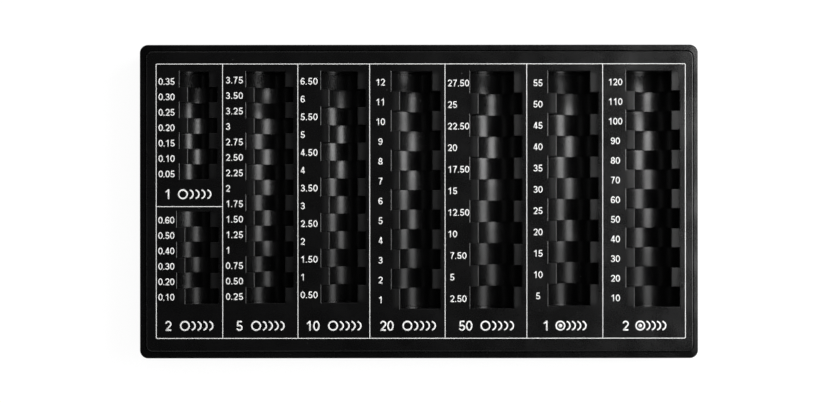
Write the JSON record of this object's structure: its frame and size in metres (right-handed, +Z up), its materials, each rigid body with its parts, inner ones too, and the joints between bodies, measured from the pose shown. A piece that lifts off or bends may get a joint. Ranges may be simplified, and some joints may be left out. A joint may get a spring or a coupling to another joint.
{
  "type": "coin tray",
  "caption": "Open-bottomed tray for counting coins: flat panel with stepped half-round troughs for coins on edge, printed value scales, skirt frame on rubber feet.",
  "frame": {"origin": "on the table, under the middle of the tray's outline", "axes": "+X to the reader's right along the long side, +Y away from the reader, +Z up out of the counting panel"},
  "size_m": [0.3272, 0.1838, 0.0321],
  "materials": {
    "frame_plastic": "fine-grained black moulded plastic",
    "panel_plastic": "fine-grained black moulded plastic, slightly satin",
    "trough_plastic": "satin black moulded plastic",
    "white_ink": "opaque white printing ink",
    "screw_steel": "zinc-plated steel",
    "foot_rubber": "matt black rubber"
  },
  "bodies": {
    "root": {"case_frame": "frame_plastic", "counting_panel": "panel_plastic", "panel_screws": "screw_steel", "printed_grid": "white_ink", "trough_1c": "trough_plastic", "trough_2c": "trough_plastic", "trough_5c": "trough_plastic", "trough_10c": "trough_plastic", "trough_20c": "trough_plastic", "trough_50c": "trough_plastic", "trough_100c": "trough_plastic", "trough_200c": "trough_plastic", "foot_front_left": "foot_rubber", "foot_back_left": "foot_rubber", "foot_front_right": "foot_rubber", "foot_back_right": "foot_rubber"}
  },
  "joints": []
}
